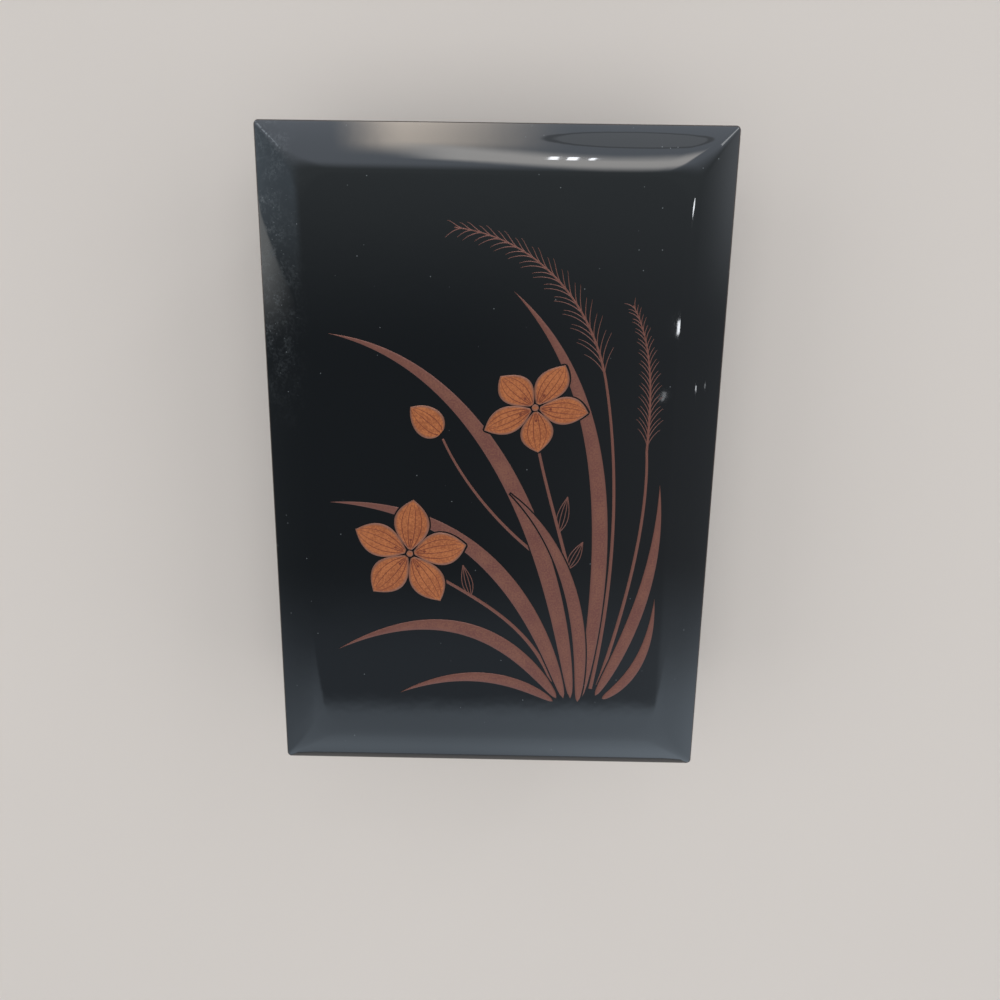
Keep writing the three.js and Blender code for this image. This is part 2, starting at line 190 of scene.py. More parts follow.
off_edge = add_node(world, "ShaderNodeMath", {"operation": "SUBTRACT"}, _0=off_edge.outputs[0],
                    _1=SOFTBOX_EDGE_LEVEL)
off_edge = add_node(world, "ShaderNodeMath", {"operation": "ABSOLUTE"}, _0=off_edge.outputs[0]).outputs[0]
off_shade = add_node(world, "ShaderNodeVectorMath", {"operation": "MULTIPLY_ADD"}, _0=ray, _1=SHADE_STRETCH,
                     _2=SHADE_MIDDLE)
off_shade = add_node(world, "ShaderNodeVectorMath", {"operation": "LENGTH"}, _0=off_shade.outputs[0])
off_shade = off_shade.outputs["Value"]
seen_by = add_node(world, "ShaderNodeLightPath")
AIRS = (
    (RIGHT_AIR, ((east, -0.1, 0.3),)),
    (FAR_AIR, ((north, -0.05, 0.25),)),
    (FAR_LEFT_AIR, ((north, 0.02, 0.2), (east, -0.35, -0.7))),
    (FAR_LOW_AIR, ((north, 0.3, 0.6),)),
    (NEAR_AIR, ((north, -0.3, -0.42),)),
    (NEAR_RIGHT_AIR, ((north, -0.28, -0.46), (east, 0.0, 0.45))),
    (NEAR_LOW_AIR, ((north, -0.38, -0.5), (slant, -0.522, -0.56), (east, -1.15, -0.5), (up, -0.25, 0.3))),
    (NEAR_LOW_RIGHT_AIR, ((north, -0.4, -0.48), (slant, -0.522, -0.56), (east, -0.1, 0.25),
                          (east, 1.3, 0.2), (up, -0.25, 0.3))),
    (LEFT_SCREEN, ((left_edge, 0.785, 0.745), (north, -0.03, 0.1), (up, 0.72, 0.2), (east, -0.6, -0.8))),
    (RIGHT_SCREEN, ((up, 0.75, 0.16), (north, 0.0, 0.2), (east, 0.6, 0.8))),
    (SOFTBOX_MIDDLE, ((north, 0.3, 0.6), (up, 0.66, 0.46), (east, -0.215, -0.12), (east, 0.08, -0.15))),
    (SHADE, ((north, 0.5, 0.6), (off_shade, 1.06, 0.98))),
    (SHADE_RIM, ((north, 0.5, 0.6), (off_shade, 1.06, 0.98), (off_shade, 0.86, 0.93))),
    (SOFTBOX_LOWER_EDGE, ((north, 0.15, 0.25), (east, -0.17, -0.057), (east, 0.3, 0.24),
                          (off_edge, 0.5, 0.12))),
    (EVEN_AIR, ((seen_by.outputs["Is Glossy Ray"], 1.0, 0.0),)),
    (BACKDROP, ((seen_by.outputs["Is Camera Ray"], 0.0, 1.0),)),
)
air = linear(*OVERHEAD_AIR)
for colour, limits in AIRS:
    share = 1.0
    for measure, start, end in limits:
        step = add_node(world, "ShaderNodeMapRange", {"interpolation_type": "SMOOTHSTEP"}, Value=measure,
                        From_Min=start, From_Max=end)
        share = add_node(world, "ShaderNodeMath", {"operation": "MULTIPLY"}, _0=step.outputs[0],
                         _1=share).outputs[0]
    air = add_node(world, "ShaderNodeMix", {"data_type": "RGBA"}, _0=share, _6=air,
                   _7=linear(*colour)).outputs[2]
background = add_node(world, "ShaderNodeBackground", Color=air, Strength=1.0)
add_node(world, "ShaderNodeOutputWorld", Surface=background.outputs[0])


def add_softbox(name, distance, azimuth, elevation, width, height_across, radiance, colour, mirrored=True):
    """An area light aimed at the lid. azimuth runs from +Y towards +X, and angles are in degrees."""
    light = bpy.data.lights.new(name, "AREA")
    light.shape = "RECTANGLE"
    light.size, light.size_y = width, height_across
    light.energy = radiance * math.pi * width * height_across
    light.color = linear(colour)[:3]
    softbox = bpy.data.objects.new(name, light)
    turn = Euler((math.radians(90 - elevation), 0, math.radians(180 - azimuth)), "XYZ")
    softbox.matrix_world = (Matrix.Translation((0, 0, arris_height)) @ turn.to_matrix().to_4x4()
                            @ Matrix.Translation((0, 0, distance)))
    softbox.visible_glossy = mirrored
    softbox.visible_camera = False
    bpy.context.scene.collection.objects.link(softbox)


# Distance, azimuth, elevation, width, height across and radiance of each lamp. Those that only light the
# box aren't mirrored. The small ones show as the highlights on the bevel.
add_softbox("overhead", 1.5, 180, 84, 1.6, 1.6, 1.12, SOFT_WHITE, mirrored=False)
add_softbox("left_softbox", 1.3, -90, 36, 1.2, 0.8, 0.9, SOFT_WHITE, mirrored=False)
add_softbox("right_softbox", 1.3, 90, 36, 1.2, 0.8, 0.9, SOFT_WHITE, mirrored=False)
add_softbox("right_corner_strip", LAMP_DISTANCE, 45, 20, 0.22, 1.1, 3.4, STRIP_WHITE)
SMALL_LAMPS = (
    (4.3, 39.9, 0.022, 0.09, 20.0), (6.2, 40.1, 0.027, 0.1, 20.0), (8.1, 40.0, 0.016, 0.07, 20.0),
    (69.4, 59.4, 0.04, 0.11, 20.0), (85.1, 75.2, 0.03, 0.06, 20.0), (94.2, 33.2, 0.01, 0.04, 10.0),
    (93.6, 24.2, 0.008, 0.04, 3.0), (108.3, 76.45, 0.024, 0.005, 5.5),
)
for number, lamp in enumerate(SMALL_LAMPS):
    add_softbox(f"small_lamp_{number + 1}", LAMP_DISTANCE, *lamp, LAMP_WHITE)

# Lacquer box
# A wooden box with mitred walls, primed, coated many times with black lacquer and polished, so its joints
# and their keys are under one skin. It stands on the edges of its walls, and its base is set in from them.

BOX_WALL = 4 * MM
BASE_RECESS = 1.5 * MM
CORNER_STEPS = 10
SIDE_STEPS = 24
SATIN_INSET = 3.9 * MM
LACQUER_BLACK, DUST_GREY, WORN_AND_HIGHLIGHT_GREY, UNDERCOAT_BROWN = "#0b0d11", "#63696e", "#868f97", "#33231d"
LACQUER_IOR = 1.55
RIPPLE, RIPPLE_STRENGTH = 7.7 * MM, 0.012
SMUDGE, SMUDGE_LIMITS, SMUDGE_DULLING = 30 * MM, (0.54, 0.74), 0.04
DUST_SPACING, DUST_RADIUS, DUST_SPARED = 2.4 * MM, (0.075, 0.045), 0.72
FILM_BLOTCH, FILM_BLOTCH_LIMITS = 4.4 * MM, (0.42, 0.68)
FILM_FLECK, FILM_FLECK_LIMITS, FILM_FLECK_LEVELS = 0.7 * MM, (0.4, 0.62), (0.15, 1.5)
FILM_FROM_LEFT, FILM_FROM_FAR, FILM_FROM_TOP = (-46 * MM, -56 * MM), (6 * MM, 40 * MM), (44 * MM, 46 * MM)
SCRATCH_LENGTH, SCRATCH_SLIMNESS, SCRATCH_TURN = 12 * MM, 16.0, 1.1
SCRATCH_EDGE, SCRATCH_PALENESS = (0.16, 0.06), 0.22
# The pale line along the far-left mitre is partly wear and partly a painted highlight of the mitre.
MITRE_WEAR_AND_HIGHLIGHT_WIDTH, MITRE_WEAR_AND_HIGHLIGHT_PALENESS, MITRE_WEAR_AND_HIGHLIGHT_END = (0.4 * MM, 0.1 * MM), 0.42, (8.5 * MM, 5 * MM)
ARRIS_RUB_INSET, ARRIS_RUB_DEPTH = (0.6 * MM, 0.2 * MM), (0.6 * MM, 0.1 * MM)


def black_lacquer(name, gloss, handled=0.0):
    """Polished lacquer. It mirrors like dark glass, with a soft ripple, faint smudges and a few specks of
    dust, which are drawn a little coarser than real dust, so that they show."""
    material = new_material(name)
    place = add_node(material, "ShaderNodeTexCoord").outputs["Object"]
    ripple = add_node(material, "ShaderNodeTexNoise", Vector=place, Scale=1 / RIPPLE, Detail=2.0)
    bump = add_node(material, "ShaderNodeBump", Height=ripple.outputs["Fac"], Strength=RIPPLE_STRENGTH,
                    Distance=1 * MM)
    smudge = add_node(material, "ShaderNodeTexNoise", Vector=place, Scale=1 / SMUDGE, Detail=5.0,
                      Roughness=0.6)
    smudge = add_node(material, "ShaderNodeMapRange", Value=smudge.outputs["Fac"], From_Min=SMUDGE_LIMITS[0],
                      From_Max=SMUDGE_LIMITS[1], To_Min=gloss, To_Max=gloss + SMUDGE_DULLING)
    cell = add_node(material, "ShaderNodeTexVoronoi", Vector=place, Scale=1 / DUST_SPACING)
    speck = add_node(material, "ShaderNodeMapRange", Value=cell.outputs["Distance"],
                     From_Min=DUST_RADIUS[0], From_Max=DUST_RADIUS[1])
    dusty = add_node(material, "ShaderNodeMath", {"operation": "GREATER_THAN"}, _0=cell.outputs["Color"],
                     _1=DUST_SPARED)
    speck = add_node(material, "ShaderNodeMath", {"operation": "MULTIPLY"}, _0=speck.outputs[0],
                     _1=dusty.outputs[0])
    tone = add_node(material, "ShaderNodeMix", {"data_type": "RGBA"}, _0=speck.outputs[0],
                    _6=linear(LACQUER_BLACK), _7=linear(DUST_GREY))
    roughness = smudge
    if handled:
        tone, roughness = wear_and_highlight(material, place, handled, tone, roughness)
    shader = add_node(material, "ShaderNodeBsdfPrincipled", Base_Color=tone.outputs[2],
                      Roughness=roughness.outputs[0], IOR=LACQUER_IOR, Normal=bump.outputs[0])
    add_node(material, "ShaderNodeOutputMaterial", Surface=shader.outputs[0])
    return material


def wear_and_highlight(material, place, handled, tone, roughness):
    """Use leaves a mottled film and short scratches on the far left bevel, where a hand takes hold of the
    lid, and thins the lacquer on the arris until its brown undercoat shows. The pale line painted along the
    mitre there is partly wear and partly a painted highlight of the mitre."""
    axes = add_node(material, "ShaderNodeSeparateXYZ", Vector=place)
    insets = []
    for measure, reach in (("X", lid_board_high.x), ("Y", lid_board_high.y)):
        out = add_node(material, "ShaderNodeMath", {"operation": "ABSOLUTE"}, _0=axes.outputs[measure])
        insets.append(add_node(material, "ShaderNodeMath", {"operation": "SUBTRACT"}, _0=reach,
                               _1=out.outputs[0]))
    nearest = add_node(material, "ShaderNodeMath", {"operation": "MINIMUM"}, _0=insets[0].outputs[0],
                       _1=insets[1].outputs[0])
    gap = add_node(material, "ShaderNodeMath", {"operation": "SUBTRACT"}, _0=insets[0].outputs[0],
                   _1=insets[1].outputs[0])
    gap = add_node(material, "ShaderNodeMath", {"operation": "ABSOLUTE"}, _0=gap.outputs[0])
    blotch = add_node(material, "ShaderNodeTexNoise", Vector=place, Scale=1 / FILM_BLOTCH, Detail=5.0,
                      Roughness=0.65)
    fleck = add_node(material, "ShaderNodeTexNoise", Vector=place, Scale=1 / FILM_FLECK, Detail=1.0)
    streaks = add_node(material, "ShaderNodeMapping", Vector=place, Rotation=(0.0, 0.0, SCRATCH_TURN),
                       Scale=(1.0, SCRATCH_SLIMNESS, SCRATCH_SLIMNESS))
    streaks = add_node(material, "ShaderNodeTexVoronoi", Vector=streaks.outputs[0], Scale=1 / SCRATCH_LENGTH)
    marks = []
    for node, measure, start, end, level in (
            (blotch, "Fac", *FILM_BLOTCH_LIMITS, handled),
            (streaks, "Distance", *SCRATCH_EDGE, SCRATCH_PALENESS),
            (gap, "Value", *MITRE_WEAR_AND_HIGHLIGHT_WIDTH, MITRE_WEAR_AND_HIGHLIGHT_PALENESS)):
        marks.append(add_node(material, "ShaderNodeMapRange", Value=node.outputs[measure], From_Min=start,
                              From_Max=end, To_Max=level))
    # The mitre line is kept near the arris. It is paled in the tone, partly as wear and partly as a painted
    # highlight.
    short = add_node(material, "ShaderNodeMapRange", Value=nearest.outputs[0], From_Min=MITRE_WEAR_AND_HIGHLIGHT_END[0],
                     From_Max=MITRE_WEAR_AND_HIGHLIGHT_END[1])
    marks[2] = add_node(material, "ShaderNodeMath", {"operation": "MULTIPLY"}, _0=marks[2].outputs[0],
                        _1=short.outputs[0])
    film = add_node(material, "ShaderNodeMath", {"operation": "ADD"}, _0=marks[0].outputs[0],
                    _1=marks[1].outputs[0])
    film = add_node(material, "ShaderNodeMath", {"operation": "ADD"}, _0=film.outputs[0],
                    _1=marks[2].outputs[0])
    for node, measure, start, end, least, most in (
            (fleck, "Fac", *FILM_FLECK_LIMITS, *FILM_FLECK_LEVELS), (axes, "X", *FILM_FROM_LEFT, 0.0, 1.0),
            (axes, "Y", *FILM_FROM_FAR, 0.0, 1.0), (axes, "Z", *FILM_FROM_TOP, 0.0, 1.0)):
        step = add_node(material, "ShaderNodeMapRange", {"interpolation_type": "SMOOTHSTEP"},
                        Value=node.outputs[measure], From_Min=start, From_Max=end, To_Min=least, To_Max=most)
        film = add_node(material, "ShaderNodeMath", {"operation": "MULTIPLY"}, _0=film.outputs[0],
                        _1=step.outputs[0])
    tone = add_node(material, "ShaderNodeMix", {"data_type": "RGBA"}, _0=film.outputs[0], _6=tone.outputs[2],
                    _7=linear(WORN_AND_HIGHLIGHT_GREY))
    roughness = add_node(material, "ShaderNodeMath", {"operation": "ADD"}, _0=roughness.outputs[0],
                         _1=film.outputs[0])
    rubbed = add_node(material, "ShaderNodeMapRange", Value=nearest.outputs[0], From_Min=ARRIS_RUB_INSET[0],
                      From_Max=ARRIS_RUB_INSET[1])
    above = add_node(material, "ShaderNodeMapRange", Value=axes.outputs["Z"],
                     From_Min=arris_height - ARRIS_RUB_DEPTH[0], From_Max=arris_height - ARRIS_RUB_DEPTH[1])
    rubbed = add_node(material, "ShaderNodeMath", {"operation": "MULTIPLY"}, _0=rubbed.outputs[0],
                      _1=above.outputs[0])
    tone = add_node(material, "ShaderNodeMix", {"data_type": "RGBA"}, _0=rubbed.outputs[0],
                    _6=tone.outputs[2], _7=linear(UNDERCOAT_BROWN))
    return tone, roughness


def rounded_rectangle(width, length, radius, height):
    """Points round a rounded rectangle about the Z axis, the same number of them whatever its size."""
    points = []
    for quarter in range(4):
        turn = Matrix.Rotation(quarter * math.pi / 2, 3, "Z")
        along, across = (width, length) if quarter % 2 == 0 else (length, width)
        corner = Vector((along / 2 - radius, across / 2 - radius, 0))
        for step in range(CORNER_STEPS):
            angle = math.pi / 2 * step / CORNER_STEPS
            points.append(turn @ (corner + radius * Vector((math.cos(angle), math.sin(angle), 0))))
        for step in range(SIDE_STEPS):
            points.append(turn @ Vector((corner.x * (1 - 2 * step / SIDE_STEPS), across / 2, 0)))
    return [point + Vector((0, 0, height)) for point in points]


def skin_of(width, length, profile):
    """A closed skin through rounded rectangles, given as (inset from the outside, height, corner radius).
    Each ring is extruded from the one before it, point for point, so the skin can't twist."""
    mesh_data = bmesh.new()
    steps = 4 * (CORNER_STEPS + SIDE_STEPS)
    ring = {vertex: number for number, vertex in
            enumerate(bmesh.ops.create_circle(mesh_data, segments=steps, radius=1.0)["verts"])}
    edges = mesh_data.edges[:]
    bmesh.ops.contextual_create(mesh_data, geom=edges)
    for count, (inset, height, radius) in enumerate(profile):
        if count:
            grown = bmesh.ops.extrude_edge_only(mesh_data, edges=edges)["geom"]
            after = [vertex for vertex in grown if isinstance(vertex, bmesh.types.BMVert)]
            ring = {vertex: next(ring[edge.other_vert(vertex)] for edge in vertex.link_edges
                                 if edge.other_vert(vertex) in ring) for vertex in after}
            edges = list({edge for vertex in ring for edge in vertex.link_edges
                          if edge.other_vert(vertex) in ring})
        points = rounded_rectangle(width - 2 * inset, length - 2 * inset, radius, height)
        for vertex, number in ring.items():
            vertex.co = points[number]
    bmesh.ops.contextual_create(mesh_data, geom=edges)
    bmesh.ops.recalc_face_normals(mesh_data, faces=mesh_data.faces)
    return mesh_data


def arc(centre_inset, centre_height, radius, start, end, steps, corner_radius):
    """Profile points on an arc. Angles are from the outward direction towards up, in degrees."""
    angles = [math.radians(start + (end - start) * step / steps) for step in range(steps + 1)]
    return [(centre_inset - radius * math.cos(a), centre_height + radius * math.sin(a), corner_radius)
            for a in angles]


def satin_inside(piece, width, length, low, high):
    """Gives the faces within the walls, between two heights, the satin finish of an inside."""
    piece.data.materials.append(satin_lacquer)
    for polygon in piece.data.polygons:
        centre = polygon.center
        if abs(centre.x) < width / 2 and abs(centre.y) < length / 2 and low < centre.z < high:
            polygon.material_index = 1


polished_lacquer = black_lacquer("polished_black_lacquer", gloss=0.03, handled=0.1)
satin_lacquer = black_lacquer("satin_black_lacquer", gloss=0.22)

BOX_CORNER, BOX_INNER_CORNER = 1.0 * MM, 0.6 * MM
FOOT_ROUND, BOX_RIM_ROUND, BASE_FILLET, BASE_SEAM = 0.5 * MM, 0.8 * MM, 2.0 * MM, 0.3 * MM
box_width = 2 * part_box("box_wall_right")[1][0]
box_length = 2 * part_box("box_wall_back")[1][1]
box_rim_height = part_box("box_wall_front")[1][2]
base_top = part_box("base_board")[1][2]

box_profile = [(BOX_WALL + 3 * MM, BASE_RECESS, BOX_INNER_CORNER),
               (BOX_WALL + BASE_SEAM, BASE_RECESS, BOX_INNER_CORNER),
               (BOX_WALL, BASE_RECESS - BASE_SEAM, BOX_INNER_CORNER)]
box_profile += arc(BOX_WALL - FOOT_ROUND, FOOT_ROUND, FOOT_ROUND, 180, 270, 4, BOX_INNER_CORNER)
box_profile += arc(FOOT_ROUND, FOOT_ROUND, FOOT_ROUND, -90, 0, 4, BOX_CORNER)
box_profile += arc(BOX_RIM_ROUND, box_rim_height - BOX_RIM_ROUND, BOX_RIM_ROUND, 0, 90, 6, BOX_CORNER)
box_profile += arc(BOX_WALL - BOX_RIM_ROUND, box_rim_height - BOX_RIM_ROUND, BOX_RIM_ROUND, 90, 180, 6,
                   BOX_INNER_CORNER)
box_profile += arc(BOX_WALL + BASE_FILLET, base_top + BASE_FILLET, BASE_FILLET, 0, -90, 8, BOX_INNER_CORNER)
box_profile += [(BOX_WALL + BASE_FILLET + 1 * MM, base_top, BOX_INNER_CORNER)]
box_shell = new_piece("box_shell", skin_of(box_width, box_length, box_profile), polished_lacquer)
satin_inside(box_shell, box_width - 2 * SATIN_INSET, box_length - 2 * SATIN_INSET, 0, box_rim_height - 1 * MM)
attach(box_shell, "box")
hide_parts("base_board", *(f"box_wall_{side}" for side in ("front", "right", "back", "left")),
            *(f"box_key_{corner}_{number}" for number in (1, 2)
              for corner in ("front_left", "front_right", "back_right", "back_left")))

# Lid
# A top board on four low mitred walls, lifted off by hand, with one skin of lacquer over all of it. Its
# face is flat, with a rounded bevel on all sides whose corners soften towards the face.

ARRIS_RADIUS, BEVEL_RADIUS, SHOULDER_RADIUS = 1 * MM, 38 * MM, 12 * MM
ARRIS_NORMAL, SHOULDER_NORMAL = 57, 72
LID_CORNER = 1.2 * MM
FACE_CORNER = 8 * MM
LID_WALL = 4 * MM
LID_RIM_ROUND = 0.8 * MM
CAVITY_CORNER = 1.5 * MM
CAVITY_FILLET = 0.8 * MM

lid_width, lid_length = lid_board_high.x - lid_board_low.x, lid_board_high.y - lid_board_low.y
lid_rim_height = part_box("lid_wall_front")[0][2]
lid_ceiling = lid_board_low.z


def bevel_points():
    """The outside of the lid from its arris to its face, as (inset, height) with the arris at height 0."""
    points = [(0.0, 0.0)]
    stretches = ((ARRIS_RADIUS, 0, ARRIS_NORMAL, 8), (BEVEL_RADIUS, ARRIS_NORMAL, SHOULDER_NORMAL, 16),
                 (SHOULDER_RADIUS, SHOULDER_NORMAL, 90, 16))
    for radius, start, end, steps in stretches:
        inset, height = points[-1]
        centre_inset = inset + radius * math.cos(math.radians(start))
        centre_height = height - radius * math.sin(math.radians(start))
        points += [(inset, height) for inset, height, _ in
                   arc(centre_inset, centre_height, radius, start, end, steps, 0)][1:]
    return points


bevel = bevel_points()
bevel_inset, bevel_rise = bevel[-1]
lid_profile = [(LID_WALL + CAVITY_FILLET + 2 * MM, lid_ceiling, CAVITY_CORNER)]
lid_profile += arc(LID_WALL + CAVITY_FILLET, lid_ceiling - CAVITY_FILLET, CAVITY_FILLET, 90, 0, 5,
                   CAVITY_CORNER)
lid_profile += [(LID_WALL, lid_rim_height + 2 * LID_RIM_ROUND, CAVITY_CORNER)]
lid_profile += arc(LID_WALL - LID_RIM_ROUND, lid_rim_height + LID_RIM_ROUND, LID_RIM_ROUND, 180, 270, 5,
                   LID_CORNER)
lid_profile += arc(LID_RIM_ROUND, lid_rim_height + LID_RIM_ROUND, LID_RIM_ROUND, -90, 0, 5, LID_CORNER)
lid_profile += [(0, lid_rim_height + 2 * LID_RIM_ROUND, LID_CORNER),
                (0, lid_board_high.z - bevel_rise - 1 * MM, LID_CORNER)]
lid_profile += [(inset, lid_board_high.z - bevel_rise + height,
                 LID_CORNER + (FACE_CORNER - LID_CORNER) * (inset / bevel_inset) ** 2)
                for inset, height in bevel]
lid_profile += [(bevel_inset + 1 * MM, lid_board_high.z, FACE_CORNER)]
lid_shell = new_piece("lid_shell", skin_of(lid_width, lid_length, lid_profile), polished_lacquer)
satin_inside(lid_shell, lid_width - 2 * SATIN_INSET, lid_length - 2 * SATIN_INSET, lid_rim_height + 1 * MM,
             lid_ceiling + 0.1 * MM)
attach(lid_shell, "lid")
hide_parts("lid_top_board", *(f"lid_wall_{side}" for side in ("front", "right", "back", "left")),
            *(f"lid_key_{corner}" for corner in ("front_left", "front_right", "back_right", "back_left")))

# Bellflowers
# Two open bellflowers of raised lacquer, the uppermost of the lid's motifs, dusted with gold and copper
# powder, each with a round heart. The veins and the stamens are drawn on the petals in red-brown lacquer.

PETAL_COUNT = 5
PETAL_THICKNESS = 0.36
VEIN_THICKNESS = 0.04
FOOT_WALL_SHARE = 0.4
EDGE_ROUND = 0.7
PETAL_FOOT = (1.3, 0.55)
PETAL_BENDS = ((0.38, 0.345), (0.70, 0.45))
VEINS = (-0.56, -0.2, 0.2, 0.56)
VEIN_HALF_WIDTH, VEIN_TAPER, VEIN_START, VEIN_SINK = 0.12, 0.5, 0.05, 0.01
HEART_RADIUS = 0.9
STAMEN_FOOT, STAMEN_REACH, STAMEN_HALF_WIDTH, STAMEN_TIP_RADIUS = 1.7, 4.2, 0.09, 0.36
FINEST_HALF_WIDTH = 0.04
SHARPEST_SMOOTH_ANGLE = math.radians(38)
KEYLINE, CUTTER_REACH = 0.38, 1
DIRECTION_STEP = 0.001
POWDER_GRAIN, POWDER_DRIFT, POWDER_LIMITS, POWDER_BUMP = 0.45 * MM, 6 * MM, (1.2, 1.8), 0.3
GRAIN_TO_DRIFT = 2.0
# How far in from a motif's edge the painted edge sheen reaches, in centimetres.
EDGE_SHEEN_WIDTH = (0.015, 0.1)
FLOWERS = (
    {"name": "upper", "centre": (11, 18), "radius": 14.5, "turn": 62, "flatten": 0.8, "lean": 20},
    {"name": "lower", "centre": (-22, -22), "radius": 16, "turn": 84, "flatten": 0.93, "lean": -30},
)

Patch = namedtuple("Patch", "place half steps across")
face_height = lid_board_high.z / MM


def turned(point, degrees):
    return Matrix.Rotation(math.radians(degrees), 2) @ point


def bezier(points):
    """A function of the share of the way along, which gives the point there and the direction."""
    a, b, c, d = (Vector(point) for point in points)

    def at(t):
        u = 1 - t
        point = u ** 3 * a + 3 * u * u * t * b + 3 * u * t * t * c + t ** 3 * d
        direction = u * u * (b - a) + 2 * u * t * (c - b) + t * t * (d - c)
        return point, direction.normalized()
    return at


def path_along(spot):
    """The same for a function that gives only the point."""
    def at(t):
        ahead, behind = spot(min(t + DIRECTION_STEP, 1.0)), spot(max(t - DIRECTION_STEP, 0.0))
        return spot(t), (ahead - behind).normalized()
    return at


def line_patch(path, half_width, steps, across):
    """A strip along a path. place takes shares along and across, and how far the outline is grown."""
    def half(t):
        return max(half_width(t), FINEST_HALF_WIDTH)

    def place(t, v, grow=0.0):
        point, direction = path(t)
        side = Vector((-direction.y, direction.x))
        return point + side * v * (half(t) + grow) + direction * grow * (2 * t - 1)
    return Patch(place, half, steps, across)


def add_patch(mesh_data, patch, thickness, foot=0.0):
    """Adds a patch with a flat top, rounded edges and a flat foot. Its UV is the share along it, and how
    far from its edge a point is, in centimetres."""
    uv_layer = mesh_data.loops.layers.uv.verify()
    grid = bmesh.ops.create_grid(mesh_data, x_segments=patch.steps, y_segments=patch.across,
                                 size=1.0)["verts"]
    shares = {vertex: ((vertex.co.x + 1) / 2, math.sin(vertex.co.y * math.pi / 2)) for vertex in grid}
    faces = list({face for vertex in grid for face in vertex.link_faces})
    for face in faces:
        for loop in face.loops:
            t, v = shares[loop.vert]
            loop[uv_layer].uv = (t, (1 - abs(v)) * patch.half(t) / 10)
    for vertex, (t, v) in shares.items():
        inwards = min((1 - abs(v)) * patch.half(t) / min(EDGE_ROUND, patch.half(t)), 1.0)
        crown = FOOT_WALL_SHARE + (1 - FOOT_WALL_SHARE) * math.sqrt(1 - (1 - inwards) ** 2)
        vertex.co = (*patch.place(t, v), face_height + foot + thickness * crown)
    under = bmesh.ops.extrude_face_region(mesh_data, geom=faces, use_keep_orig=True)["geom"]
    for vertex in under:
        if isinstance(vertex, bmesh.types.BMVert):
            vertex.co.z = face_height + foot
    bmesh.ops.recalc_face_normals(mesh_data, faces=mesh_data.faces)


def add_cutter(patch, grow):
    """A tall prism over a patch's grown outline, as an object."""
    mesh_data = bmesh.new()
    grid = bmesh.ops.create_grid(mesh_data, x_segments=patch.steps, y_segments=1, size=1.0)["verts"]
    for vertex in grid:
        vertex.co = (*patch.place((vertex.co.x + 1) / 2, vertex.co.y, grow), face_height - CUTTER_REACH)
    over = bmesh.ops.extrude_face_region(mesh_data, geom=mesh_data.faces[:], use_keep_orig=True)["geom"]
    for vertex in over:
        if isinstance(vertex, bmesh.types.BMVert):
            vertex.co.z += 2 * CUTTER_REACH
    bmesh.ops.recalc_face_normals(mesh_data, faces=mesh_data.faces)
    return new_piece("cutter", mesh_data, None)


def spans_apart(one, other):
    """Whether two flat pieces are clear of each other along X or along Y."""
    for axis in (0, 1):
        spans = [sorted(vertex.co[axis] for vertex in piece.data.vertices) for piece in (one, other)]
        if spans[0][-1] < spans[1][0] or spans[1][-1] < spans[0][0]:
            return True
    return False


def raise_motif(name, patches, thickness, material, foot=0.0):
    """Makes a motif of patches given in millimetres. It stops short of the motifs that pass over it, which
    leaves the thin black line around them."""
    mesh_data = bmesh.new()
    for patch in patches:
        add_patch(mesh_data, patch, thickness, foot)
    piece = new_piece(name, mesh_data, material)
    cutters = [add_cutter(patch, KEYLINE) for patch in laid_over]
    for cutter in cutters:
        if not spans_apart(piece, cutter):
            difference = piece.modifiers.new("keyline", "BOOLEAN")
            difference.operation, difference.solver, difference.object = "DIFFERENCE", "MANIFOLD", cutter
    cut = bpy.data.meshes.new_from_object(piece.evaluated_get(bpy.context.evaluated_depsgraph_get()))
    piece.modifiers.clear()
    piece.data = cut
    for cutter in cutters:
        bpy.data.objects.remove(cutter)
    piece.data.transform(Matrix.Scale(MM, 4))
    piece.data.set_sharp_from_angle(angle=SHARPEST_SMOOTH_ANGLE)
    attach(piece, "lid")
    return piece


